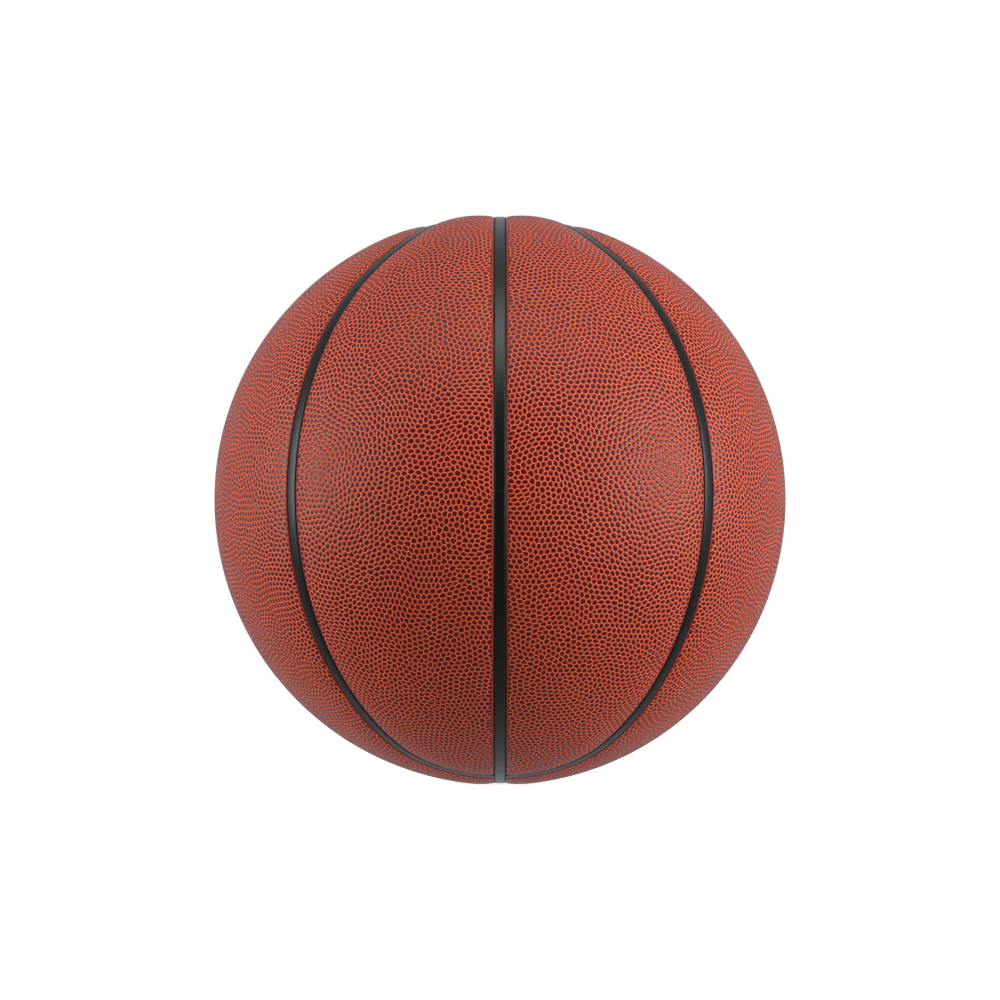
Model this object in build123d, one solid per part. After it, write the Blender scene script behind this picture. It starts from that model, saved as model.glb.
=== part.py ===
from build123d import *
import math
import os

# A laminated basketball. The origin is the centre of the ball, +Z is up, and the photographed
# side faces -Y. Lengths are millimetres and angles are degrees.

# Overall size
ball_diameter = 242.0

# Thickness of each layer, from the outside in, and of the adhesive film between two layers
cover_thickness = 1.8
foam_thickness = 1.2
carcass_thickness = 1.0
winding_thickness = 0.6
bladder_thickness = 0.8
bond_line = 0.1

# Curved seams: each runs from the centre ring, near the bottom, up to the side ring, near the top.
# Its middle stands at an angle from the front, and its ends stop short of where the rings cross.
curve_angle = 45.0
curve_end_gap = 28.3

# Rubber channel strips that lie in the seams
strip_width = 4.8
strip_recess = 1.2
strip_edge_radius = 0.5
strip_side_gap = 0.2
strip_butt_gap = 0.1

# Cover panels, which fall towards the strips all round
panel_corner_radius = 2.0
panel_fall_width = 11.0
panel_fall_depth = 1.0
panel_rim_chamfer = 0.4

# Valve: its place is turned from +Y towards +X
valve_turn = 22.5
valve_flange_diameter = 26.0
valve_flange_thickness = 1.6
valve_barrel_diameter = 10.0
valve_barrel_depth = 14.0
plug_head_diameter = 6.0
plug_stem_diameter = 4.4
plug_tip_reach = 1.0
plug_tip_chamfer = 0.6
plug_recess = 0.4
plug_clearance = 0.2
plug_edge_radius = 0.4
needle_bore_diameter = 2.2
needle_bore_depth = 13.0
needle_mouth_chamfer = 0.4

# Radius of each layer
crown_radius = ball_diameter / 2
cover_inner = crown_radius - cover_thickness
foam_outer = cover_inner - bond_line
foam_inner = foam_outer - foam_thickness
carcass_outer = foam_inner - bond_line
carcass_inner = carcass_outer - carcass_thickness
winding_outer = carcass_inner - bond_line
winding_inner = winding_outer - winding_thickness
bladder_outer = winding_inner - bond_line
bladder_inner = bladder_outer - bladder_thickness
flange_outer = bladder_inner - bond_line
flange_inner = flange_outer - valve_flange_thickness

# Height of the strips and half the width of the channel that they lie in
strip_foot = carcass_outer + bond_line
strip_top = crown_radius - strip_recess
channel_half_width = strip_width / 2 + strip_side_gap

# Angle from the ball's equator to a curved seam's end
curve_end_angle = 90 - math.degrees(curve_end_gap / crown_radius)

# Anything that cuts right through the ball is this long
through = 2 * ball_diameter

# Points this close are taken to be one
touching = 0.0001

# Directions
centre = Vector(0, 0, 0)
right = Vector(1, 0, 0)
front = Vector(0, -1, 0)
rear = Vector(0, 1, 0)
top = Vector(0, 0, 1)
bottom = Vector(0, 0, -1)


def sine(angle):
    return math.sin(math.radians(angle))


def cosine(angle):
    return math.cos(math.radians(angle))


def flat_part(direction, axis):
    """The part of a direction that is square to an axis."""
    return direction - axis * direction.dot(axis)


def bar_outline(low, high, half_width):
    """The section of a straight-sided rib. In every section, X is outward and Y is across the seam."""
    return Pos((low + high) / 2, 0) * Rectangle(high - low, 2 * half_width)


def strip_outline():
    """The section of a rubber strip, with its two outer edges rounded."""
    bar = bar_outline(strip_foot, strip_top, strip_width / 2)
    return fillet(bar.vertices().group_by(Axis.X)[-1], strip_edge_radius)


def fall_outline():
    """What is cut from the cover along a seam: a flat that falls to the channel and a chamfered rim."""
    rim_height = crown_radius - panel_fall_depth
    rim_reach = channel_half_width + panel_rim_chamfer
    fall_reach = channel_half_width + panel_fall_width
    fall_height = math.sqrt(crown_radius**2 - fall_reach**2)
    slope = (fall_height - rim_height) / (fall_reach - rim_reach)
    far_reach = fall_reach + panel_fall_width
    far_height = fall_height + slope * panel_fall_width
    side = [
        (rim_height - 2 * panel_rim_chamfer, channel_half_width - panel_rim_chamfer),
        (rim_height, rim_reach),
        (far_height, far_reach),
        (crown_radius + panel_fall_width, far_reach),
    ]
    other_side = [(height, -reach) for height, reach in reversed(side)]
    return make_face(Polyline(*side, *other_side, close=True))


def arc_between(start, end, axis, outline):
    """A section, bent about an axis through the ball's centre, from one direction to another."""
    travel = axis.cross(start).normalized()
    section = Plane(centre, x_dir=start, z_dir=travel) * outline
    spread_start = flat_part(start, axis)
    spread_end = flat_part(end, axis)
    angle = spread_start.get_signed_angle(spread_end, axis) % 360
    return revolve(section, Axis(centre, axis), angle)


def side_run(outline):
    """The right half of the side ring."""
    return arc_between(top, bottom, rear, outline)


def centre_run(outline):
    """The upper half of the centre ring."""
    return arc_between(rear, front, right, outline)


def curve_end_tilt(angle):
    """The tilt of the axis of a curved seam's end, whose ring lies at an angle from its middle."""
    rise = sine(curve_end_angle) - sine(angle)
    return math.degrees(math.atan2(rise, cosine(curve_end_angle)))


def curve_run(outline):
    """The curved seam of the front right quarter: an arc, a great circle and an arc the other way."""
    lower_tilt = curve_end_tilt(curve_angle)
    upper_tilt = curve_end_tilt(90 - curve_angle)
    middle_axis = Vector(cosine(curve_angle), sine(curve_angle), 0)
    lower_axis = front * cosine(lower_tilt) + bottom * sine(lower_tilt)
    upper_axis = right * cosine(upper_tilt) + top * sine(upper_tilt)
    lower_end = front * cosine(curve_end_angle) + bottom * sine(curve_end_angle)
    upper_end = right * cosine(curve_end_angle) + top * sine(curve_end_angle)
    lower_joint = flat_part(lower_axis, middle_axis).normalized()
    upper_joint = flat_part(upper_axis, middle_axis).normalized()
    lower_arc = arc_between(lower_end, lower_joint, lower_axis, outline)
    middle_arc = arc_between(lower_joint, upper_joint, middle_axis * -1, outline)
    upper_arc = arc_between(upper_end, upper_joint, upper_axis, outline)
    return middle_arc + lower_arc + upper_arc


def shell(outer, inner):
    """A closed hollow sphere."""
    return Sphere(outer) - Sphere(inner)


def front_right_panels(outer, inner):
    """The two panels of the front right quarter, first the one beside the centre strip."""
    across = Box(through, through, through, align=(Align.MIN, Align.MAX, Align.CENTER))
    quarter = shell(outer, inner) & Pos(channel_half_width, -channel_half_width) * across
    # The cutter reaches past both faces of the layer by the layer's own thickness.
    spare = outer - inner
    channel = bar_outline(inner - spare, outer + spare, channel_half_width)
    pieces = quarter - curve_run(channel)
    rounded = [round_corners(piece, outer) for piece in pieces.solids()]
    return sorted(rounded, key=lambda piece: piece.center().X)


def round_corners(piece, outer):
    """Rounds a panel's corners, which stand on the channels of the two rings."""
    def on_outside(vertex):
        return abs(Vector(vertex).length - outer) < touching

    corners = []
    for edge in piece.edges():
        ends = edge.vertices()
        on_centre = all(abs(end.X - channel_half_width) < touching for end in ends)
        on_side = all(abs(end.Y + channel_half_width) < touching for end in ends)
        if (on_centre or on_side) and sum(map(on_outside, ends)) == 1:
            corners.append(edge)
    return piece.fillet(panel_corner_radius, corners)


def cover_panels():
    """The two cover panels of a quarter, which fall towards the seams round them."""
    fall = fall_outline()
    upper = centre_run(fall)
    seams = (upper, mirror(upper, about=Plane.XY), side_run(fall), curve_run(fall))
    shaped = []
    for panel in front_right_panels(crown_radius, cover_inner):
        for seam in seams:
            panel = panel - seam
        shaped.append(panel)
    return shaped


def four_ways(piece):
    """A front right piece and its mirror images, each with the words that place it."""
    left = mirror(piece, about=Plane.YZ)
    return {
        "front_right": piece,
        "front_left": left,
        "rear_right": mirror(piece, about=Plane.XZ),
        "rear_left": mirror(left, about=Plane.XZ),
    }


valve_axis = rear * cosine(valve_turn) + right * sine(valve_turn)
valve_plane = Plane(centre, x_dir=top, z_dir=valve_axis)


def valve_rod(diameter, low, high):
    """A round bar on the valve's axis, between two distances from the ball's centre."""
    bar = Cylinder(diameter / 2, high - low, align=(Align.CENTER, Align.CENTER, Align.MIN))
    return valve_plane * Pos(0, 0, low) * bar


def valve_hole(diameter):
    """What is cut from a layer so that the valve passes through it."""
    return valve_rod(diameter, 0, ball_diameter)


def strips():
    """The rubber strips: a centre ring in two halves, two halves of a side ring and four curves."""
    outline = strip_outline()
    stop = strip_width + 2 * strip_butt_gap
    at_centre = Box(stop, through, through)
    at_side = Box(through, stop, through)
    butt = Box(through, through, strip_butt_gap)
    upper = centre_run(outline) - butt
    side = side_run(outline) - at_centre
    curve = curve_run(outline) - at_centre - at_side
    made = {
        "centre_strip_upper": upper,
        "centre_strip_lower": mirror(upper, about=Plane.XY),
        "side_strip_right": side,
        "side_strip_left": mirror(side, about=Plane.YZ),
    }
    for place, piece in four_ways(curve).items():
        made["curve_strip_" + place] = piece
    return made


def panels():
    """Eight cover panels and the foam backing that lies under each of them."""
    made = {}
    barrel_hole = valve_hole(valve_barrel_diameter + 2 * bond_line)
    head_hole = valve_hole(plug_head_diameter + 2 * plug_clearance)
    layers = (
        ("cover_panel", cover_panels(), head_hole),
        ("foam_backing", front_right_panels(foam_outer, foam_inner), barrel_hole),
    )
    for layer, (centre_panel, side_panel), hole in layers:
        for kind, piece in (("centre", centre_panel), ("side", side_panel)):
            for place, copy in four_ways(piece).items():
                made[f"{layer}_{kind}_{place}"] = copy
        pierced = f"{layer}_centre_rear_right"
        made[pierced] = made[pierced] - hole
    return made


def casing():
    """The carcass, the thread winding and the bladder, each pierced by the valve."""
    barrel_hole = valve_hole(valve_barrel_diameter + 2 * bond_line)
    return {
        "carcass": shell(carcass_outer, carcass_inner) - barrel_hole,
        "thread_winding": shell(winding_outer, winding_inner) - barrel_hole,
        "bladder": shell(bladder_outer, bladder_inner) - barrel_hole,
    }


def valve():
    """The barrel that is bonded into the bladder and the rubber plug that pulls out of it."""
    stem_hole = plug_stem_diameter + 2 * plug_clearance
    barrel_end = bladder_inner - valve_barrel_depth
    barrel_top = cover_inner - bond_line
    flange = shell(flange_outer, flange_inner) & valve_hole(valve_flange_diameter)
    barrel = valve_rod(valve_barrel_diameter, barrel_end, crown_radius) & Sphere(barrel_top)
    seat = flange + barrel - valve_hole(stem_hole)

    head_top = crown_radius - plug_recess
    head_foot = barrel_top + plug_clearance
    stem_end = barrel_end - plug_tip_reach
    bore_end = head_top - needle_bore_depth
    head_radius = plug_head_diameter / 2
    stem_radius = plug_stem_diameter / 2
    needle_radius = needle_bore_diameter / 2
    half_section = make_face(Polyline(
        (0, bore_end),
        (needle_radius, bore_end),
        (needle_radius, head_top - needle_mouth_chamfer),
        (needle_radius + needle_mouth_chamfer, head_top),
        (head_radius, head_top),
        (head_radius, head_foot),
        (stem_radius, head_foot),
        (stem_radius, stem_end + plug_tip_chamfer),
        (stem_radius - plug_tip_chamfer, stem_end),
        (0, stem_end),
        close=True,
    ))
    head_rim = half_section.vertices().sort_by_distance((head_radius, head_top))[0]
    half_section = fillet(head_rim, plug_edge_radius)
    section_plane = Plane(centre, x_dir=top, z_dir=top.cross(valve_axis))
    plug = revolve(section_plane * half_section, Axis(centre, valve_axis))
    return {"valve_barrel": seat, "valve_plug": plug}


os.makedirs("parts", exist_ok=True)
for node, solid in {**panels(), **strips(), **casing(), **valve()}.items():
    export_step(solid, f"parts/{node}.step")
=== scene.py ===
import logging
import math
import random
from collections.abc import Callable, Iterable, Sequence
from dataclasses import dataclass, field
from enum import Enum
from typing import Any

import bmesh
import bpy
from bmesh.types import BMesh, BMFace, BMVert
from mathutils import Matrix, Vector


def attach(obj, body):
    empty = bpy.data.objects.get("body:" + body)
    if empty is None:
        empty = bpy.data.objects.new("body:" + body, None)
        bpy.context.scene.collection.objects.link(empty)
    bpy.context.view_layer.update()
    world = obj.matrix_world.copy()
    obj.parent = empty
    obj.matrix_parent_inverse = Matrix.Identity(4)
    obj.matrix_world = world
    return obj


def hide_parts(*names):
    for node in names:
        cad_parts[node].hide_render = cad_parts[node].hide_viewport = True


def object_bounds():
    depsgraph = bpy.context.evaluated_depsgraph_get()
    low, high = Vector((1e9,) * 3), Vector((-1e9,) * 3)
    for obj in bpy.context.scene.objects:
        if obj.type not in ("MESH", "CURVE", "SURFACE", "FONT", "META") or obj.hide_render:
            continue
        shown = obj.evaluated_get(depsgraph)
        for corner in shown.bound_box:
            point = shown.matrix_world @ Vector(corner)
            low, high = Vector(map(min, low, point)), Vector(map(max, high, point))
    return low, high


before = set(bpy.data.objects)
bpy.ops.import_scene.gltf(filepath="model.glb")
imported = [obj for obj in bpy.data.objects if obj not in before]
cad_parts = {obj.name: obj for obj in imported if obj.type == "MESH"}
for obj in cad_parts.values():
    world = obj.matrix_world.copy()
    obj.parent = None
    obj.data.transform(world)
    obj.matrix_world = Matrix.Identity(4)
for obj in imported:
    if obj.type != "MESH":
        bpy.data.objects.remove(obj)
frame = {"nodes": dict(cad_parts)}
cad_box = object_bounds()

log = logging.getLogger("basketball")

# The meshes are worked in millimetres and scaled to metres when they are finished.
METRES = 0.001
# Edges that bend by more than this are shaded sharp.
SHARP = math.radians(60)
# A noise pattern runs from 0 to 1, about this.
MIDDLE = 0.5
# The panels' seeds. A panel also draws from the two seeds after its own.
FIRST_SEED, SEED_STEP = 11, 10
Colour = tuple[float, float, float]


def linear(red: int, green: int, blue: int) -> Colour:
    """Turns a colour from screen values, 0 to 255, to linear light, 0 to 1."""
    parts = (red / 255, green / 255, blue / 255)
    return tuple(p / 12.92 if p <= 0.04045 else ((p + 0.055) / 1.055) ** 2.4 for p in parts)


def within_one(value: float) -> float:
    """Keeps a number between -1 and 1."""
    return max(-1.0, min(1.0, value))


def fill(slot: bpy.types.NodeSocket, value: "Field | float | Sequence[float]") -> None:
    """Leads a field to a socket, or sets the socket to a value.

    Args:
        slot: The socket.
        value: A field, a number, a vector or a colour.
    """
    if isinstance(value, Field):
        value.tree.links.new(value.socket, slot)
    elif slot.type == "RGBA":
        slot.default_value = (*value, 1.0)
    else:
        slot.default_value = value


class Field:
    """A socket of a node tree that takes part in Python arithmetic."""

    def __init__(self, tree: bpy.types.NodeTree, socket: bpy.types.NodeSocket) -> None:
        """Keeps the tree and the socket that the field stands for."""
        self.tree = tree
        self.socket = socket

    def _math(self, operation: str, *values: "Field | float") -> "Field":
        """Adds a Math node.

        Args:
            operation: The node's operation.
            values: Its inputs, in order.

        Returns:
            The node's result.
        """
        made = self.tree.nodes.new("ShaderNodeMath")
        made.operation = operation
        for slot, value in zip(made.inputs, values):
            fill(slot, value)
        return Field(self.tree, made.outputs[0])

    def __add__(self, other: "Field | float") -> "Field":
        """Adds a field or a number."""
        return self._math("ADD", self, other)

    def __radd__(self, other: float) -> "Field":
        """Adds to a number."""
        return self._math("ADD", other, self)

    def __sub__(self, other: "Field | float") -> "Field":
        """Takes a field or a number away."""
        return self._math("SUBTRACT", self, other)

    def __mul__(self, other: "Field | float") -> "Field":
        """Multiplies by a field or a number."""
        return self._math("MULTIPLY", self, other)

    def clamp(self) -> "Field":
        """Keeps the field between 0 and 1."""
        return self._math("MINIMUM", self._math("MAXIMUM", self, 0.0), 1.0)


class Shading:
    """A node tree and the ways of adding to it."""

    def __init__(self, tree: bpy.types.NodeTree) -> None:
        """Starts with an empty tree."""
        self.tree = tree
        self.tree.nodes.clear()

    def node(
        self,
        kind: str,
        settings: dict[str, Any] | None = None,
        inputs: dict[str | int, Any] | None = None,
        result: str | int = 0,
    ) -> Field:
        """Adds a node.

        Args:
            kind: The node's type, without the words Shader Node.
            settings: Values of the node itself, which are set first. A ramp's stops are pairs.
            inputs: Values or fields for its sockets, by name or by number.
            result: The output to hand back.

        Returns:
            The chosen output.
        """
        made = self.tree.nodes.new("ShaderNode" + kind)
        for name, value in (settings or {}).items():
            if name == "stops":
                self._set_stops(made.color_ramp, value)
            else:
                setattr(made, name, value)
        for name, value in (inputs or {}).items():
            fill(made.inputs[name], value)
        return Field(self.tree, made.outputs[result])

    @staticmethod
    def _set_stops(ramp: bpy.types.ColorRamp, stops: Sequence[tuple[float, Colour]]) -> None:
        """Gives a ramp its stops.

        Args:
            ramp: The ramp, which starts with two stops.
            stops: Each stop's place and colour, in order.
        """
        while len(ramp.elements) < len(stops):
            ramp.elements.new(1.0)
        for element, (place, colour) in zip(ramp.elements, stops):
            element.position = place
            element.color = (*colour, 1.0)

    def join(self, value: Field, kind: str, socket: str) -> None:
        """Adds an output node of a kind and leads a field to its socket."""
        output = self.tree.nodes.new("ShaderNode" + kind)
        self.tree.links.new(value.socket, output.inputs[socket])


class Surface(Shading):
    """A material and the nodes that make it."""

    def __init__(self, name: str) -> None:
        """Starts a material with nothing but its shader and its output.

        Args:
            name: The material's name.
        """
        self.material = bpy.data.materials.new(name)
        self.material.use_nodes = True
        super().__init__(self.material.node_tree)
        made = self.node("BsdfPrincipled")
        self.shader = made.socket.node
        self.join(made, "OutputMaterial", "Surface")

    def attribute(self, name: str) -> Field:
        """Reads a number that the mesh carries at each vertex."""
        return self.node("Attribute", {"attribute_name": name}, result="Fac")

    def noise(self, vector: Field, scale: float, detail: float = 2.0) -> Field:
        """Adds a noise pattern of a given scale."""
        return self.node("TexNoise", None, {"Vector": vector, "Scale": scale, "Detail": detail})

    def place(self) -> Field:
        """Gives the point on the object, in metres."""
        return self.node("TexCoord", result="Object")

    def mix(self, share: Field, first: Field | Colour, second: Field | Colour) -> Field:
        """Mixes two colours, with a share of the second one."""
        # Some sockets share a name, so they go by number: 6, 7 and 2 are those for colours.
        return self.node("Mix", {"data_type": "RGBA"}, {0: share, 6: first, 7: second}, 2)

    def bump(self, height: Field, depth: float, strength: float) -> None:
        """Roughens the surface by a pattern of a depth in metres, of which a share shows."""
        inputs = {"Height": height, "Distance": depth, "Strength": strength}
        self.feed("Normal", self.node("Bump", None, inputs))

    def feed(self, socket: str, value: Field | float | Colour) -> None:
        """Sets one of the shader's sockets to a field, a number or a colour."""
        fill(self.shader.inputs[socket], value)


@dataclass(frozen=True)
class PebbledLeather:
    """Composite leather: dark tipped pebbles over bright valleys, as heights with colours."""

    valley: tuple[float, Colour] = (0.0, linear(246, 113, 77))
    foot: tuple[float, Colour] = (0.42, linear(234, 95, 59))
    flank: tuple[float, Colour] = (0.74, linear(140, 43, 30))
    tip: tuple[float, Colour] = (0.98, linear(80, 19, 14))
    cut_edge: Colour = linear(70, 30, 26)
    grain_scale: float = 1800.0
    cloud_scale: float = 22.0
    grain_share: float = 0.28
    cloud_share: float = 0.08
    # How far a pebble's tip is lightened towards the flank colour by its chance tone: painted
    # sheen.
    painted_sheen: float = 0.18
    tip_roughness: float = 0.32
    valley_roughness: float = 0.6
    grain_roughness: float = 0.16

    def material(self) -> bpy.types.Material:
        """Makes the leather's material from the relief and the tone that the panels carry."""
        made = Surface("pebbled_leather")
        relief = made.attribute("relief")
        tone = made.attribute("tone")
        skin = made.attribute("skin")
        point = made.place()
        grain = made.noise(point, self.grain_scale, detail=3.0)
        cloud = made.noise(point, self.cloud_scale)
        rough_relief = relief + (grain - MIDDLE) * self.grain_share
        shade = (rough_relief + (cloud - MIDDLE) * self.cloud_share).clamp()
        stops = (self.valley, self.foot, self.flank, self.tip)
        leather = made.node("ValToRGB", {"stops": stops}, {"Fac": shade}, "Color")
        # Painted sheen: each pebble's tip is lightened towards the flank colour by its own chance
        # tone.
        sheen_varied = made.mix((tone * relief * self.painted_sheen).clamp(), leather, self.flank[1])
        made.feed("Base Color", made.mix(skin, self.cut_edge, sheen_varied))
        spread = self.tip_roughness - self.valley_roughness
        polish = self.valley_roughness + relief * spread
        made.feed("Roughness", polish + (grain - MIDDLE) * self.grain_roughness)
        made.bump(grain, depth=0.00006, strength=0.5)
        made.feed("Specular IOR Level", 0.3)
        return made.material


@dataclass(frozen=True)
class ChannelRubber:
    """Black moulded rubber with fine lines along its run."""

    name: str = "channel_rubber"
    deep: Colour = linear(7, 6, 6)
    dusty: Colour = linear(16, 14, 14)
    roughness: float = 0.33
    sheen: float = 0.6
    line_scale: float = 2.2
    line_stretch: float = 0.03
    grain_scale: float = 2600.0
    line_dust: float = 0.8
    grain_dust: float = 0.7
    dust_cut: float = 0.5
    edge_scale: float = 0.176
    edge_roughness: float = 0.35
    grain_roughness: float = 0.3
    line_roughness: float = 0.2
    line_height: float = 0.4
    grain_height: float = 0.6

    def material(self) -> bpy.types.Material:
        """Makes the rubber's material from the run and the reach that the strips carry."""
        made = Surface(self.name)
        along = made.attribute("along")
        across = made.attribute("across")
        run = along * self.line_stretch
        flow = made.node("CombineXYZ", None, {"X": run, "Y": across, "Z": 0.0})
        lines = made.noise(flow, self.line_scale, detail=4.0)
        grain = made.noise(made.place(), self.grain_scale)
        dust = (lines * self.line_dust + grain * self.grain_dust - self.dust_cut).clamp()
        made.feed("Base Color", made.mix(dust, self.deep, self.dusty))
        edge = (across * across * self.edge_scale).clamp()
        sheen_varied = self.roughness + edge * edge * edge * self.edge_roughness
        grainy = sheen_varied + (grain - MIDDLE) * self.grain_roughness
        made.feed("Roughness", grainy + (lines - MIDDLE) * self.line_roughness)
        height = lines * self.line_height + grain * self.grain_height
        made.bump(height, depth=0.00012, strength=0.6)
        made.feed("Specular IOR Level", self.sheen)
        return made.material


@dataclass(frozen=True)
class PlainLayer:
    """A layer inside the ball: its two tones and how coarse its texture is."""

    name: str
    light: Colour
    dark: Colour
    roughness: float
    scale: float
    stretch: float = 1.0
    fineness: float = 6.0
    coarse_share: float = 0.7
    fine_share: float = 0.5
    dark_cut: float = 0.1
    fine_roughness: float = 0.2

    def material(self) -> bpy.types.Material:
        """Makes the layer's material."""
        made = Surface(self.name)
        size = (1.0, 1.0, self.stretch)
        point = made.node("Mapping", None, {"Vector": made.place(), "Scale": size})
        coarse = made.noise(point, self.scale, detail=4.0)
        fine = made.noise(point, self.scale * self.fineness)
        tone = (coarse * self.coarse_share + fine * self.fine_share - self.dark_cut).clamp()
        made.feed("Base Color", made.mix(tone, self.dark, self.light))
        made.feed("Roughness", self.roughness + (fine - MIDDLE) * self.fine_roughness)
        made.bump(fine, depth=0.0002, strength=0.4)
        return made.material


class Quarter(Enum):
    """A quarter of the ball, with the signs of its X and its Y."""

    FRONT_RIGHT = (1, -1)
    FRONT_LEFT = (-1, -1)
    REAR_RIGHT = (1, 1)
    REAR_LEFT = (-1, 1)

    @property
    def words(self) -> str:
        """The words that place a node in this quarter."""
        return self.name.lower()

    def turn(self, point: Vector) -> Vector:
        """Mirrors a point of the front right quarter into this one."""
        return Vector((point.x * self.value[0], -point.y * self.value[1], point.z))


class PanelKind(Enum):
    """The two panels of a quarter, each with the longitude of its middle, from the front."""

    CENTRE = 22.5
    SIDE = 67.5


@dataclass(frozen=True)
class Seams:
    """Where the seams run on the ball, in millimetres, and how far a point is from them."""

    crown: float = 121.0
    half_width: float = 2.44
    curve_angle: float = 45.0
    curve_end_gap: float = 28.3
    corner: float = 2.0
    valve_turn: float = 22.5
    valve_hole: float = 3.2

    @property
    def middle_axis(self) -> Vector:
        """The axis of the great circle up the middle of the front right curve."""
        angle = math.radians(self.curve_angle)
        return Vector((math.cos(angle), math.sin(angle), 0))

    @property
    def curve_end(self) -> float:
        """The angle from the ball's equator to a curve's end, in radians."""
        return math.pi / 2 - self.curve_end_gap / self.crown

    @property
    def end_axis(self) -> Vector:
        """The axis of the arc at the lower end of the front right curve."""
        rise = math.sin(self.curve_end) - math.sin(math.radians(self.curve_angle))
        tilt = math.atan2(rise, math.cos(self.curve_end))
        return Vector((0, -math.cos(tilt), -math.sin(tilt)))

    @property
    def valve_axis(self) -> Vector:
        """The direction that the valve points in."""
        angle = math.radians(self.valve_turn)
        return Vector((math.sin(angle), math.cos(angle), 0))

    @staticmethod
    def other_end(point: Vector) -> Vector:
        """Turns the front right quarter end for end, which swaps its two panels."""
        return Vector((-point.y, -point.x, -point.z))

    def curve_margin(self, point: Vector) -> float:
        """How far a direction lies beyond the curve of its quarter, seen from the centre seam.

        Args:
            point: A direction from the ball's centre.

        Returns:
            The distance along the ball, below 0 on the centre seam's side.
        """
        home = Vector((abs(point.x), -abs(point.y), point.z))
        if home.z > 0:
            return -self._lower_margin(self.other_end(home))
        return self._lower_margin(home)

    def _lower_margin(self, home: Vector) -> float:
        """How far a direction in the lower front right quarter lies beyond the curve."""
        middle, end = self.middle_axis, self.end_axis
        if middle.cross(end).dot(home) > 0:
            return self.crown * (home.angle(end) - math.asin(-middle.dot(end)))
        return self.crown * math.asin(middle.dot(home))

    def centre_margin(self, point: Vector) -> float:
        """How far a direction lies to the right of the centre seam, along the ball."""
        return self.crown * math.asin(within_one(point.x))

    def side_margin(self, point: Vector) -> float:
        """How far a direction lies behind the side seam, along the ball."""
        return self.crown * math.asin(within_one(point.y))


@dataclass(frozen=True)
class PanelOutline:
    """The outline of one panel: how far a point on the ball lies inside it."""

    seams: Seams
    kind: PanelKind
    quarter: Quarter
    probe: float = 0.02
    slides: int = 3
    least_slope: float = 0.2

    @property
    def pierced(self) -> bool:
        """Whether the valve comes through this panel."""
        return self.kind is PanelKind.CENTRE and self.quarter is Quarter.REAR_RIGHT

    def seam_margin(self, point: Vector) -> float:
        """How far a direction lies inside the channels round the panel, in millimetres."""
        seams = self.seams
        home = self.quarter.turn(point)
        curve = seams.curve_margin(home) * (-1 if self.kind is PanelKind.CENTRE else 1)
        centre = seams.centre_margin(home) - seams.half_width
        side = -seams.side_margin(home) - seams.half_width
        return self._rounded(self._rounded(centre, side), curve - seams.half_width)

    def _rounded(self, first: float, second: float) -> float:
        """The smaller of two distances, with the corner between them rounded."""
        radius = self.seams.corner
        if first >= radius or second >= radius:
            return min(first, second)
        return radius - math.hypot(radius - first, radius - second)

    def valve_margin(self, point: Vector) -> float:
        """How far a direction lies from the hole for the valve."""
        if not self.pierced:
            return math.inf
        seams = self.seams
        return seams.crown * point.angle(seams.valve_axis) - seams.valve_hole

    def margin(self, point: Vector) -> float:
        """How far a direction lies inside the panel."""
        return min(self.seam_margin(point), self.valve_margin(point))

    def inward(self, point: Vector) -> Vector:
        """The direction along the ball that leads away from the nearest edge.

        Args:
            point: A direction from the ball's centre.

        Returns:
            A vector square to the point, as long as the margin grows per millimetre.
        """
        east = point.orthogonal().normalized()
        north = point.cross(east)
        slope = Vector()
        for way in (east, north):
            reach = way * (self.probe / self.seams.crown)
            ahead = self.margin((point + reach).normalized())
            behind = self.margin((point - reach).normalized())
            slope += way * ((ahead - behind) / (2 * self.probe))
        return slope

    def brought_to(self, point: Vector, margin: float) -> Vector:
        """Slides a direction along the ball until it lies a given distance inside the panel.

        Args:
            point: A direction from the ball's centre.
            margin: The distance that it ends at.

        Returns:
            The new direction.
        """
        for _ in range(self.slides):
            slope = self.inward(point)
            if slope.length < self.least_slope:
                break
            short = margin - self.margin(point)
            share = short / (slope.length_squared * self.seams.crown)
            point = (point + slope * share).normalized()
        return point


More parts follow.
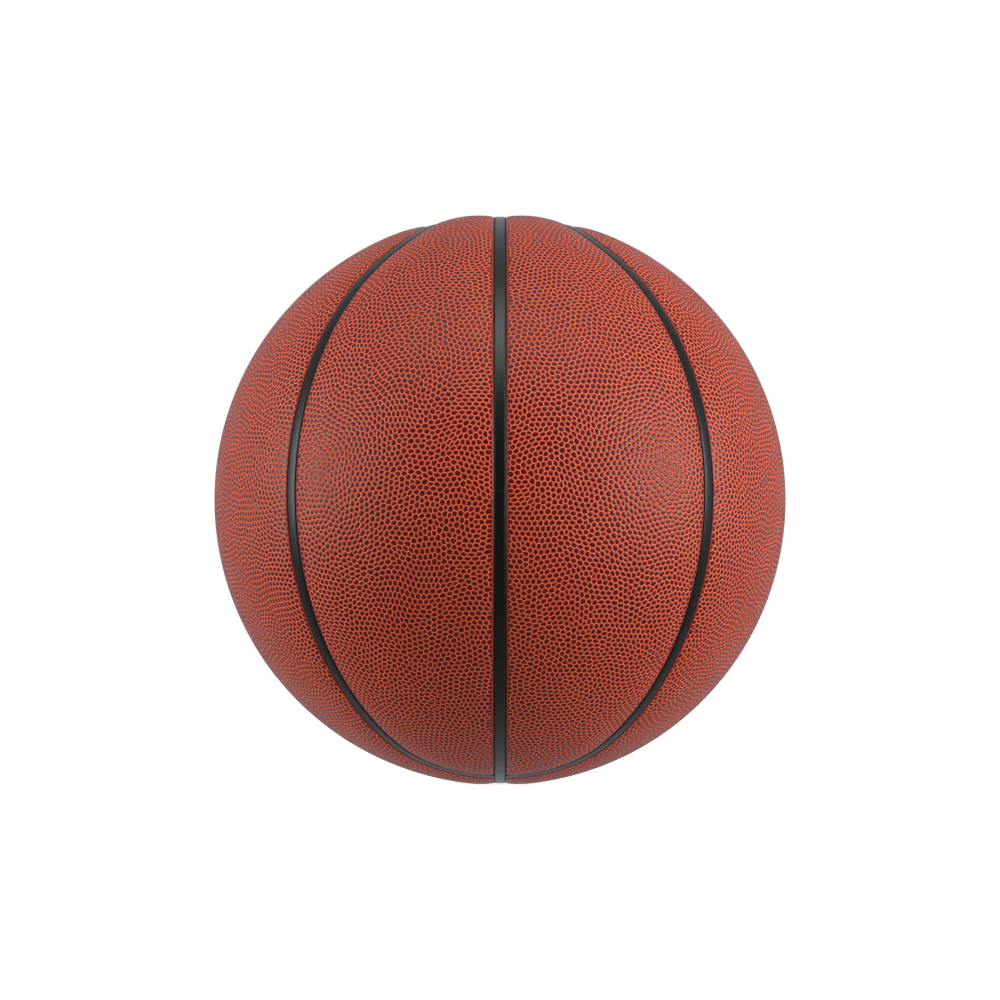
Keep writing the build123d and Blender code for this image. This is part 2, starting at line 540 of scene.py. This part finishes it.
@dataclass
class PebbleSheet:
    """A flat sheet of close-packed cells that a panel is cut from."""

    width: float
    height: float
    seed: int
    pitch: float = 2.45
    jitter: float = 0.31
    firmness: float = 0.2
    usual_sides: int = 6
    fewest_sides: int = 5
    side_power: float = 0.7
    least_gap: float = 0.2
    shaking: int = 8
    calming: int = 2
    relaxing: int = 16
    strain: float = 0.24
    strain_waves: int = 6
    strain_length: float = 30.0
    strain_spread: tuple[float, float] = (0.7, 1.4)
    easing: int = 2

    def build(self) -> BMesh:
        """Packs the sheet.

        Returns:
            A flat mesh with one face to a pebble.
        """
        row = self.pitch * math.sqrt(3) / 2
        columns = round(self.width / self.pitch)
        rows = round(self.height / row)
        sheet = bmesh.new()
        bmesh.ops.create_grid(sheet, x_segments=columns, y_segments=rows, size=0.5)
        bmesh.ops.scale(sheet, vec=(columns * self.pitch, rows * row, 1), verts=sheet.verts)
        dice = random.Random(self.seed)
        for vert in sheet.verts:
            vert.co.x += self.pitch / 2 * (round(vert.co.y / row + rows / 2) % 2)
        bmesh.ops.triangulate(sheet, faces=sheet.faces, quad_method="SHORT_EDGE")
        for _ in range(self.shaking):
            self._shake(sheet, dice)
            self._rejoin(sheet)
            for _ in range(self.calming):
                self._even_out(sheet)
                self._rejoin(sheet)
        inside = [vert for vert in sheet.verts if not vert.is_boundary]
        crowded = [vert for vert in inside if len(vert.link_edges) < self.fewest_sides]
        bmesh.ops.dissolve_verts(sheet, verts=crowded)
        bmesh.ops.triangulate(sheet, faces=sheet.faces)
        self._rejoin(sheet)
        for _ in range(self.relaxing):
            self._even_out(sheet)
        self._strain(sheet)
        self._rejoin(sheet)
        for _ in range(self.easing):
            self._even_out(sheet)
        return self._cells(sheet)

    @staticmethod
    def _rejoin(sheet: BMesh) -> None:
        """Joins the points to their nearest neighbours again."""
        bmesh.ops.beautify_fill(sheet, faces=sheet.faces, edges=sheet.edges, method="AREA")

    def _shake(self, sheet: BMesh, dice: random.Random) -> None:
        """Moves each point a little, by chance."""
        reach = self.jitter * self.pitch
        for vert in sheet.verts:
            vert.co += Vector((dice.uniform(-reach, reach), dice.uniform(-reach, reach), 0))

    def _even_out(self, sheet: BMesh) -> None:
        """Moves each point so that all the cells come nearer to one size.

        Args:
            sheet: The points, in triangles.
        """
        pushes = {vert: Vector() for vert in sheet.verts}
        for edge in sheet.edges:
            first, second = edge.verts
            gap = second.co - first.co
            rest = self.pitch
            if not (first.is_boundary or second.is_boundary):
                sides = len(first.link_edges) * len(second.link_edges)
                rest *= (self.usual_sides**2 / sides) ** self.side_power
            push = gap * (self.firmness * (1 - rest / max(gap.length, self.least_gap)))
            pushes[first] += push
            pushes[second] -= push
        for vert, push in pushes.items():
            if not vert.is_boundary:
                vert.co += push

    def _strain(self, sheet: BMesh) -> None:
        """Draws the packing out this way and that, with as many cells to an area as before.

        Args:
            sheet: The points, in triangles.
        """
        dice = random.Random(self.seed + 2)
        waves = []
        for _ in range(self.strain_waves):
            wave = 2 * math.pi * dice.uniform(*self.strain_spread) / self.strain_length
            waves.append((dice.uniform(0, 2 * math.pi), dice.uniform(0, 2 * math.pi), wave))
        for vert in sheet.verts:
            place = vert.co.copy()
            for heading, start, wave in waves:
                run = place.x * math.cos(heading) + place.y * math.sin(heading)
                push = self.strain / wave * math.sin(run * wave + start)
                push /= math.sqrt(self.strain_waves / 2)
                vert.co += Vector((-math.sin(heading), math.cos(heading), 0)) * push

    @staticmethod
    def _cells(sheet: BMesh) -> BMesh:
        """Puts a cell round each point, with its corners in the middles of the triangles.

        Args:
            sheet: The points, in triangles, which are used up.

        Returns:
            The cells.
        """
        cells = bmesh.new()
        corners = {}
        for face in sheet.faces:
            corners[face] = cells.verts.new(face.calc_center_median_weighted())
        for vert in sheet.verts:
            if not vert.is_boundary:
                around = [corners[face] for face in vert.link_faces]
                turns = {corner: math.atan2(*(corner.co - vert.co).yx) for corner in around}
                cells.faces.new(sorted(turns, key=turns.get))
        sheet.free()
        return cells


@dataclass(frozen=True)
class PebbleForm:
    """How a group of pebbles rises from the valleys, in millimetres."""

    foot: float
    shoulder: float
    foot_height: float
    shoulder_height: float
    crown_height: float


@dataclass
class CoverPanel:
    """One pebbled leather panel, closed all round."""

    seams: Seams
    kind: PanelKind
    quarter: Quarter
    seed: int
    under: float = 119.2
    fall_depth: float = 1.1
    fall_width: float = 15.0
    fall_power: float = 2.2
    valve_dip: float = 0.4
    valve_dip_width: float = 4.0
    relief: float = 0.26
    edge_reach: float = -0.05
    rim_inset: float = 0.35
    rim_settling: float = 1.2
    rim_shade: float = 0.82
    rims: tuple[tuple[float, float], ...] = ((0.0, 0.55), (0.12, 0.18))
    sheet_width: float = 112.0
    sheet_height: float = 396.0
    chart_share: float = 0.95
    chart_gap: float = 2.0
    hidden_scale: float = 0.06
    hidden_place: tuple[float, float] = (0.42, 0.88)
    bare_girth: float = 0.34
    small_girth: float = 0.72
    edge_band: float = 2.0
    foot_shade: float = 0.55
    full: PebbleForm = PebbleForm(0.25, 0.27, 0.13, 0.1, 0.03)
    edge: PebbleForm = PebbleForm(0.23, 0.23, 0.08, 0.05, 0.02)
    small: PebbleForm = PebbleForm(0.13, 0.12, 0.06, 0.04, 0.01)
    outline: PanelOutline = field(init=False)
    layers: dict[str, Any] = field(init=False)

    def __post_init__(self) -> None:
        """Works out the panel's outline."""
        self.outline = PanelOutline(self.seams, self.kind, self.quarter)

    @property
    def node(self) -> str:
        """The name of the node that the panel stands for."""
        return f"cover_panel_{self.kind.name.lower()}_{self.quarter.words}"

    def to_ball(self, flat: Vector) -> Vector:
        """Wraps a point of the flat sheet onto the ball.

        Args:
            flat: A point of the sheet, in millimetres from its middle.

        Returns:
            A direction from the ball's centre.
        """
        middle = math.radians(self.kind.value)
        out = Vector((math.sin(middle), -math.cos(middle), 0))
        side = Vector((math.cos(middle), math.sin(middle), 0))
        u, v = flat.x / self.seams.crown, flat.y / self.seams.crown
        up = out * math.cos(v) + Vector((0, 0, math.sin(v)))
        return self.quarter.turn(side * math.sin(u) + up * math.cos(u))

    def to_flat(self, point: Vector) -> tuple[float, float]:
        """Unwraps a direction from the ball's centre onto the flat sheet."""
        home = self.quarter.turn(point)
        middle = math.radians(self.kind.value)
        side = home.x * math.cos(middle) + home.y * math.sin(middle)
        out = home.x * math.sin(middle) - home.y * math.cos(middle)
        return self.seams.crown * math.asin(side), self.seams.crown * math.atan2(home.z, out)

    def height(self, point: Vector) -> float:
        """The distance from the ball's centre to the valleys of the leather.

        Args:
            point: A direction from the ball's centre.

        Returns:
            The distance in millimetres.
        """
        short = max(0.0, 1 - self.outline.seam_margin(point) / self.fall_width)
        dip = max(0.0, 1 - self.outline.valve_margin(point) / self.valve_dip_width)
        fall = self.fall_depth * short**self.fall_power + self.valve_dip * dip**2
        return self.seams.crown - fall - self.relief

    def build(self, leather: bpy.types.Material) -> None:
        """Cuts the panel from its sheet, gives it a thickness and raises its pebbles.

        Args:
            leather: The material that the panel is made of.
        """
        mesh = PebbleSheet(self.sheet_width, self.sheet_height, self.seed).build()
        names = ("relief", "tone", "skin")
        self.layers = {name: mesh.verts.layers.float.new(name) for name in names}
        self._cut(mesh)
        top = self._thicken(mesh)
        self._pebbles(mesh, top)
        self._unwrap(mesh)
        hand_over(self.node, mesh, leather, "ball")

    def _cut(self, mesh: BMesh) -> None:
        """Wraps the sheet onto the ball and cuts it to the panel's outline, as directions."""
        for vert in mesh.verts:
            vert.co = self.to_ball(vert.co)
        waste = []
        for face in mesh.faces:
            if self.outline.margin(face.calc_center_median().normalized()) < self.edge_reach:
                waste.append(face)
        bmesh.ops.delete(mesh, geom=waste, context="FACES")
        bmesh.ops.delete(mesh, geom=[e for e in mesh.edges if e.is_wire], context="EDGES")
        bmesh.ops.delete(mesh, geom=[v for v in mesh.verts if not v.link_faces], context="VERTS")
        for vert in mesh.verts:
            if vert.is_boundary:
                vert.co = self.outline.brought_to(vert.co, 0.0)

    def _thicken(self, mesh: BMesh) -> list[BMFace]:
        """Builds the panel up from its underside, with a rounded rim.

        Args:
            mesh: The panel as directions from the ball's centre.

        Returns:
            The faces of the outside.
        """
        for vert in mesh.verts:
            vert.co = vert.co * self.under
        faces = list(mesh.faces)
        for inset, drop in (*self.rims, (self.rim_inset, 0.0)):
            edges = {edge for face in faces for edge in face.edges}
            kept = inset == 0.0
            lifted = bmesh.ops.extrude_face_region(mesh, geom=[*faces, *edges], use_keep_orig=kept)
            faces = [g for g in lifted["geom"] if isinstance(g, BMFace)]
            self._settle(lifted["geom"], set(faces), inset, drop)
        bmesh.ops.recalc_face_normals(mesh, faces=mesh.faces)
        return faces

    def _settle(
        self, lifted: Iterable[Any], faces: set[BMFace], inset: float, drop: float
    ) -> None:
        """Puts one level of the panel's rim, or its whole outside, in place.

        Args:
            lifted: What was lifted from the level below.
            faces: The lifted faces.
            inset: How far inside the outline the level's edge lies.
            drop: How far below the leather's outside the level lies, 0 for the outside itself.
        """
        outside = drop == 0.0
        for vert in lifted:
            if not isinstance(vert, BMVert):
                continue
            inner = all(face in faces for face in vert.link_faces)
            if inner and not outside:
                continue
            point = vert.co.normalized()
            margin = self.outline.margin(point)
            if margin < self.rim_settling:
                share = max(0.0, margin) / self.rim_settling
                margin = inset + share * (self.rim_settling - inset)
                point = self.outline.brought_to(point, margin)
            vert.co = point * (self.height(point) - drop)
            vert[self.layers["skin"]] = float(outside)
            vert[self.layers["relief"]] = 0.0 if inner else self.rim_shade

    def _pebbles(self, mesh: BMesh, top: Sequence[BMFace]) -> None:
        """Raises a pebble on each cell of the outside.

        Args:
            mesh: The panel.
            top: The cells.
        """
        dice = random.Random(self.seed + 1)
        relief, tint, skin = (self.layers[name] for name in ("relief", "tone", "skin"))
        groups: dict[PebbleForm, list[BMFace]] = {self.full: [], self.edge: [], self.small: []}
        for face in top:
            girth = 2 * face.calc_area() / face.calc_perimeter()
            if girth < self.bare_girth:
                continue
            centre = face.calc_center_median().normalized()
            form = self.small if girth < self.small_girth else self.full
            if form is self.full and self.outline.margin(centre) < self.edge_band:
                form = self.edge
            groups[form].append(face)
        for form, cells in groups.items():
            # Each pebble draws a chance tone, which the leather turns into painted sheen on its
            # tip.
            tones = [dice.random() for _ in cells]
            steps = (
                (form.foot, form.foot_height, self.foot_shade),
                (form.shoulder, form.shoulder_height, 1.0),
            )
            for inset, lift, shade in steps:
                bmesh.ops.inset_individual(
                    mesh, faces=cells, thickness=inset, depth=lift, use_interpolate=True
                )
                for face, tone in zip(cells, tones):
                    for vert in face.verts:
                        vert[relief], vert[tint], vert[skin] = shade, tone, 1.0
            peaks = bmesh.ops.poke(mesh, faces=cells, offset=form.crown_height, center_mode="MEAN")
            for vert in peaks["verts"]:
                tone = vert.link_edges[0].other_vert(vert)[tint]
                vert[relief], vert[tint], vert[skin] = 1.0, tone, 1.0

    def _unwrap(self, mesh: BMesh) -> None:
        """Lays the panel out flat for its textures, in two halves side by side.

        Args:
            mesh: The panel.
        """
        chart = mesh.loops.layers.uv.new("OFBake")
        flat = {vert: self.to_flat(vert.co.normalized()) for vert in mesh.verts}
        half, tile = self.sheet_height / 2, self.sheet_width * self.chart_share
        scale, (aside, along) = self.hidden_scale, self.hidden_place
        for face in mesh.faces:
            upper = sum(flat[vert][1] for vert in face.verts) > 0
            hidden = face.normal.dot(face.calc_center_median()) < 0
            for loop in face.loops:
                u, v = flat[loop.vert]
                if hidden:
                    u = u * scale + tile * aside
                    v = (v * scale + half * along) * (1 if upper else -1)
                x = u + tile / 2 + (0 if upper else tile)
                y = v + self.chart_gap if upper else v + half
                loop[chart].uv = (x / (2 * tile), y / (half + 2 * self.chart_gap))


def note_run(
    mesh: BMesh, along: Callable[[Vector], float], across: Callable[[Vector], float]
) -> None:
    """Notes where each vertex lies along and across its piece, for the rubber's lines.

    Args:
        mesh: The piece.
        along: How far along the piece a point lies.
        across: How far from the piece's middle a point lies.
    """
    run = mesh.verts.layers.float.new("along")
    reach = mesh.verts.layers.float.new("across")
    for vert in mesh.verts:
        vert[run] = along(vert.co)
        vert[reach] = across(vert.co)


def hand_over(
    name: str, mesh: BMesh, material: bpy.types.Material, body: str
) -> None:
    """Makes an object of a mesh, in metres, and hands it to the frame.

    Args:
        name: The node that the piece stands for.
        mesh: The shape, in millimetres. It is freed.
        material: What the piece is made of.
        body: The body that the piece rides on.
    """
    bmesh.ops.scale(mesh, vec=(METRES, METRES, METRES), verts=mesh.verts)
    for face in mesh.faces:
        face.smooth = True
    for edge in mesh.edges:
        edge.smooth = edge.calc_face_angle(0.0) < SHARP
    data = bpy.data.meshes.new(name + "_dressed")
    mesh.to_mesh(data)
    mesh.free()
    data.materials.append(material)
    piece = bpy.data.objects.new(name + "_dressed", data)
    bpy.context.scene.collection.objects.link(piece)
    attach(piece, body)
    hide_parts(name)
    data.calc_loop_triangles()
    log.info("%s: %d triangles", piece.name, len(data.loop_triangles))


@dataclass(frozen=True)
class Arc:
    """A part of a circle on the ball, from a direction, about an axis through the centre."""

    start: Vector
    axis: Vector
    angle: float


@dataclass
class SeamStrips:
    """The rubber strips in the channels between the panels."""

    seams: Seams
    slot: str = "strip_rubber"
    foot: float = 117.9
    top: float = 119.8
    half_width: float = 2.38
    shoulder: float = 0.5
    crown: float = 0.12
    butt_gap: float = 0.025
    end_gap: float = 0.04
    end_round: float = 0.1
    shoulder_slack: float = 1.01
    step: float = 0.6
    fewest_steps: int = 8
    probe: float = 0.001

    def build(self, rubber: bpy.types.Material, curve_rubber: bpy.types.Material) -> None:
        """Makes the eight strips.

        Args:
            rubber: The material of the two rings.
            curve_rubber: The material of the curved strips.
        """
        gap = self.butt_gap / self.top
        half_turn = math.pi - 2 * gap
        for name, sign in (("upper", 1), ("lower", -1)):
            start = Vector((0, math.cos(gap), sign * math.sin(gap)))
            arcs = (Arc(start, Vector((sign, 0, 0)), half_turn),)
            mesh = self._strip(arcs, self.seams.centre_margin, lambda p: math.atan2(p.z, p.y))
            hand_over("centre_strip_" + name, mesh, rubber, "ball")
        for name, sign in (("right", 1), ("left", -1)):
            arcs = (Arc(Vector((0, 0, 1)), Vector((0, sign, 0)), math.pi),)
            mesh = self._strip(arcs, self.seams.side_margin, lambda p: math.atan2(p.z, p.x), sign)
            hand_over("side_strip_" + name, mesh, rubber, "ball")
        for quarter in Quarter:
            mesh = self._strip(
                self._curve_arcs(quarter), self.seams.curve_margin, lambda p: math.asin(p.z),
                quarter.value[0], quarter.value[1],
            )
            hand_over("curve_strip_" + quarter.words, mesh, curve_rubber, "ball")

    def _curve_arcs(self, quarter: Quarter) -> list[Arc]:
        """The three arcs of a curve: its lower end, its middle and its upper end.

        Args:
            quarter: The quarter that the curve lies in.

        Returns:
            The arcs, each from one of the two places where they meet.
        """
        middle, axis = self.seams.middle_axis, self.seams.end_axis
        joint = (axis - middle * axis.dot(middle)).normalized()
        end = Vector((0, -math.cos(self.seams.curve_end), -math.sin(self.seams.curve_end)))
        turn = (joint - axis * joint.dot(axis)).angle(end - axis * end.dot(axis))
        hand = -quarter.value[0] * quarter.value[1]
        upper_joint, upper_axis = self.seams.other_end(joint), self.seams.other_end(axis)
        flip = quarter.turn
        return [
            Arc(flip(joint), flip(axis) * hand, -turn),
            Arc(flip(joint), flip(middle) * -hand, joint.angle(upper_joint)),
            Arc(flip(upper_joint), flip(upper_axis) * hand, -turn),
        ]

    def _strip(
        self,
        arcs: Iterable[Arc],
        across: Callable[[Vector], float],
        along: Callable[[Vector], float],
        side_x: int = 0,
        side_y: int = 0,
    ) -> BMesh:
        """Draws the strip's section along arcs and closes its ends.

        Args:
            arcs: The arcs that the strip follows.
            across: How far a direction lies from the middle of the seam.
            along: The angle of a direction along the seam.
            side_x: The side that the strip lies on where the centre strip stops it, else 0.
            side_y: The side that the strip lies on where a side strip stops it, else 0.

        Returns:
            The strip.
        """
        mesh = bmesh.new()
        for arc in arcs:
            section = self._section(mesh, arc)
            steps = max(self.fewest_steps, round(abs(arc.angle) * self.top / self.step))
            bmesh.ops.spin(
                mesh, geom=section, cent=(0, 0, 0), axis=arc.axis, angle=arc.angle, steps=steps
            )
        bmesh.ops.remove_doubles(mesh, verts=mesh.verts, dist=0.002)
        for inward in (Vector((side_x, 0, 0)), Vector((0, side_y, 0))):
            if inward.length:
                self._flare(mesh, across, inward)
                geom = [*mesh.verts, *mesh.edges, *mesh.faces]
                stop = inward * (self.half_width + self.end_gap)
                bmesh.ops.bisect_plane(
                    mesh, geom=geom, dist=0.0001, plane_co=stop, plane_no=-inward, clear_outer=True
                )
        ends = bmesh.ops.holes_fill(mesh, edges=[e for e in mesh.edges if e.is_boundary])
        bmesh.ops.recalc_face_normals(mesh, faces=mesh.faces)
        low = self.top - self.shoulder - self.crown
        rim = {e for f in ends["faces"] for e in f.edges if min(v.co.length for v in e.verts) > low}
        bmesh.ops.bevel(
            mesh, geom=list(rim), offset=self.end_round, segments=2, profile=0.5,
            affect="EDGES", material=-1,
        )
        note_run(
            mesh, lambda p: along(p.normalized()) * self.top, lambda p: across(p.normalized())
        )
        return mesh

    def _flare(self, mesh: BMesh, across: Callable[[Vector], float], inward: Vector) -> None:
        """Widens a strip towards its end, to fill the rounded corners of the panels there.

        Args:
            mesh: The strip.
            across: How far a direction lies from the middle of the strip.
            inward: The direction that leads away from the strip that stops this one.
        """
        radius = self.seams.corner
        for vert in mesh.verts:
            point = vert.co.normalized()
            reach = self.seams.crown * math.asin(within_one(point.dot(inward)))
            short = radius - max(0.0, reach - self.seams.half_width)
            if short > 0:
                run = inward.cross(point).normalized()
                ahead = across((point + run * self.probe).normalized()) - across(point)
                spread = radius - math.sqrt(radius**2 - short**2)
                share = within_one(across(point) / self.half_width)
                vert.co += run * math.copysign(spread, ahead) * share

    def _section(self, mesh: BMesh, arc: Arc) -> list[Any]:
        """Draws the strip's section at the start of an arc.

        Args:
            mesh: The mesh to draw in.
            arc: The arc.

        Returns:
            The section's edges and vertices.
        """
        side = arc.axis.cross(arc.start).normalized().cross(arc.start)
        corners = ((self.foot, -1), (self.top, -1), (self.top, 1), (self.foot, 1))
        verts = []
        for height, hand in corners:
            verts.append(mesh.verts.new(arc.start * height + side * (hand * self.half_width)))
        mesh.faces.new(verts)
        shoulders = bmesh.ops.bevel(
            mesh, geom=verts[1:3], offset=self.shoulder, segments=4, profile=0.5,
            affect="VERTICES", material=-1,
        )
        face = shoulders["verts"][0].link_faces[0]
        sizes = {}
        for edge in face.edges:
            sizes[edge] = sum(v.co.dot(arc.start) for v in edge.verts) + edge.calc_length()
        widest = max(sizes, key=sizes.get)
        bmesh.ops.subdivide_edges(mesh, edges=[widest], cuts=5)
        for vert in face.verts:
            reach = vert.co.dot(side) / self.half_width
            if vert.co.dot(arc.start) > self.top - self.shoulder * self.shoulder_slack:
                vert.co += arc.start * (-self.crown * reach**2)
        edges, kept = list(face.edges), list(face.verts)
        bmesh.ops.delete(mesh, geom=[face], context="FACES_ONLY")
        return [*kept, *edges]


@dataclass
class ValvePlug:
    """The rubber plug of the valve, with the bore for the needle."""

    seams: Seams
    head_top: float = 120.6
    head_foot: float = 119.3
    stem_end: float = 100.2
    bore_end: float = 107.6
    head_radius: float = 3.0
    stem_radius: float = 2.2
    bore_radius: float = 1.1
    mouth: float = 0.4
    tip: float = 0.6
    rim: float = 0.4
    steps: int = 48

    def build(self, rubber: bpy.types.Material) -> None:
        """Turns the plug from its half section.

        Args:
            rubber: The material that it is made of.
        """
        out = self.seams.valve_axis
        up = Vector((0, 0, 1))
        head_rim = (self.head_radius, self.head_top)
        outline = (
            (0.0, self.bore_end),
            (self.bore_radius, self.bore_end),
            (self.bore_radius, self.head_top - self.mouth),
            (self.bore_radius + self.mouth, self.head_top),
            head_rim,
            (self.head_radius, self.head_foot),
            (self.stem_radius, self.head_foot),
            (self.stem_radius, self.stem_end + self.tip),
            (self.stem_radius - self.tip, self.stem_end),
            (0.0, self.stem_end),
        )
        mesh = bmesh.new()
        verts = [mesh.verts.new(out * height + up * radius) for radius, height in outline]
        for pair in zip(verts, verts[1:]):
            mesh.edges.new(pair)
        bmesh.ops.bevel(
            mesh, geom=[verts[outline.index(head_rim)]], offset=self.rim, segments=4,
            profile=0.5, affect="VERTICES", material=-1,
        )
        bmesh.ops.spin(
            mesh, geom=[*mesh.verts, *mesh.edges], cent=(0, 0, 0), axis=out, angle=2 * math.pi,
            steps=self.steps, use_merge=True,
        )
        bmesh.ops.remove_doubles(mesh, verts=mesh.verts, dist=0.001)
        bmesh.ops.recalc_face_normals(mesh, faces=mesh.faces)
        note_run(mesh, lambda p: p.dot(out), lambda p: (p - out * p.dot(out)).length)
        hand_over("valve_plug", mesh, rubber, "plug")


@dataclass
class InnerLayers:
    """The layers under the cover, which keep their solids' own shapes."""

    finishes: dict[str, PlainLayer] = field(default_factory=lambda: {
        "foam_backing": PlainLayer(
            "foam_backing", linear(214, 205, 182), linear(176, 166, 142), 0.85, 420
        ),
        "carcass": PlainLayer("carcass_rubber", linear(38, 36, 36), linear(18, 17, 17), 0.6, 160),
        "thread_winding": PlainLayer(
            "winding_thread", linear(226, 222, 208), linear(168, 162, 146), 0.7, 240, 9.0
        ),
        "bladder": PlainLayer("bladder_rubber", linear(46, 44, 45), linear(22, 21, 22), 0.5, 110),
        "valve_barrel": PlainLayer(
            "barrel_rubber", linear(44, 42, 42), linear(20, 19, 19), 0.55, 380
        ),
    })

    def dress(self, nodes: dict[str, bpy.types.Object]) -> None:
        """Gives each layer its material.

        Args:
            nodes: The nodes of the frame.
        """
        for start, finish in self.finishes.items():
            material = finish.material()
            for name, node in nodes.items():
                if name.startswith(start):
                    node.data.materials.clear()
                    node.data.materials.append(material)
                    log.info("%s: %s", name, finish.name)


@dataclass(frozen=True)
class Softbox:
    """A lamp that points at the ball: its place and size in metres, and its power in watts."""

    name: str
    place: tuple[float, float, float]
    size: tuple[float, float]
    power: float
    glossy: bool = True
    colour: Colour = (0.95, 0.972, 1.0)

    def hang(self) -> None:
        """Puts the lamp in the scene, where the camera doesn't see it."""
        light = bpy.data.lights.new(self.name, "AREA")
        light.shape = "RECTANGLE"
        light.size, light.size_y = self.size
        light.energy = self.power
        light.color = self.colour
        lamp = bpy.data.objects.new(self.name, light)
        lamp.location = self.place
        lamp.rotation_euler = (-Vector(self.place)).to_track_quat("-Z", "Y").to_euler()
        lamp.visible_camera = False
        lamp.visible_glossy = self.glossy
        bpy.context.scene.collection.objects.link(lamp)


@dataclass
class Studio:
    """A pale table, soft lights and the camera."""

    distance: float = 1.936
    elevation: float = -1.88
    lens: float = 164.5
    floor_size: float = 14.0
    floor_tones: tuple[Colour, Colour] = ((0.9, 0.9, 0.9), (0.93, 0.93, 0.93))
    lamps: tuple[Softbox, ...] = (
        Softbox("overhead", (0.0, -0.6, 1.37), (2.4, 0.8), 14.5),
        Softbox("left", (-1.55, -0.42, 0.25), (0.8, 0.9), 16.0),
        Softbox("right", (1.45, -0.68, 0.25), (0.6, 0.7), 21.0),
        Softbox("bounce", (0.0, -1.5, -1.4), (2.0, 2.0), 13.0, glossy=False),
    )
    glow: tuple[tuple[float, Colour], ...] = (
        (0.0, (0.035, 0.035, 0.036)), (0.5, (0.26, 0.264, 0.275)), (1.0, (0.7, 0.72, 0.76)),
    )

    def build(self, floor_height: float) -> None:
        """Sets up the table, the lights and the camera.

        Args:
            floor_height: How high the table stands.
        """
        self._table(floor_height)
        self._surroundings()
        for softbox in self.lamps:
            softbox.hang()
        self._camera()

    def _table(self, height: float) -> None:
        """Lays the table."""
        surface = Surface("pale_table")
        speckle = surface.noise(surface.place(), scale=3.0)
        surface.feed("Base Color", surface.mix(speckle, *self.floor_tones))
        surface.feed("Roughness", 0.6)
        surface.feed("Specular IOR Level", 0.0)
        surface.feed("Emission Color", (1.0, 1.0, 1.0))
        surface.feed("Emission Strength", 0.87)
        mesh = bmesh.new()
        bmesh.ops.create_grid(mesh, x_segments=1, y_segments=1, size=self.floor_size / 2)
        bmesh.ops.translate(mesh, vec=(0, 0, height), verts=mesh.verts)
        data = bpy.data.meshes.new("table")
        mesh.to_mesh(data)
        mesh.free()
        data.materials.append(surface.material)
        table = bpy.data.objects.new("table", data)
        bpy.context.scene.collection.objects.link(table)
        table.visible_diffuse = False
        table.visible_glossy = False
        table.visible_shadow = False

    def _surroundings(self) -> None:
        """Fills the room with soft light, bright behind the ball and dim in front of it."""
        world = bpy.data.worlds.new("room")
        bpy.context.scene.world = world
        world.use_nodes = True
        room = Shading(world.node_tree)
        gaze = room.node("TexCoord", result="Generated")
        way = room.node("SeparateXYZ", None, {"Vector": gaze}, "Y")
        behind = way * 0.5 + 0.5
        glow = room.node("ValToRGB", {"stops": self.glow}, {"Fac": behind}, "Color")
        lit = room.node("Background", None, {"Color": glow})
        seen = room.node("Background", None, {"Color": (1.0, 1.0, 1.0)})
        camera = room.node("LightPath", result="Is Camera Ray")
        shown = room.node("MixShader", None, {0: camera, 1: lit, 2: seen})
        room.join(shown, "OutputWorld", "Surface")

    def _camera(self) -> None:
        """Stands the camera where the photograph was taken from."""
        data = bpy.data.cameras.new("camera")
        data.lens = self.lens
        data.sensor_width = 36.0
        camera = bpy.data.objects.new("camera", data)
        tilt = math.radians(self.elevation)
        camera.location = (0, -self.distance * math.cos(tilt), self.distance * math.sin(tilt))
        camera.rotation_euler = (-camera.location).to_track_quat("-Z", "Y").to_euler()
        bpy.context.scene.collection.objects.link(camera)
        bpy.context.scene.camera = camera


def main() -> None:
    """Builds the ball and its studio."""
    logging.basicConfig(level=logging.INFO, format="%(name)s: %(message)s")
    bpy.context.scene.view_settings.view_transform = "Standard"
    seams = Seams()
    leather = PebbledLeather().material()
    for number, (kind, quarter) in enumerate((k, q) for k in PanelKind for q in Quarter):
        CoverPanel(seams, kind, quarter, FIRST_SEED + SEED_STEP * number).build(leather)
    curve_rubber = ChannelRubber("curve_rubber", sheen=0.36).material()
    SeamStrips(seams).build(ChannelRubber().material(), curve_rubber)
    ValvePlug(seams).build(ChannelRubber("valve_rubber").material())
    InnerLayers().dress(frame["nodes"])
    Studio().build(cad_box[0][2])


if __name__ == "__main__":
    main()
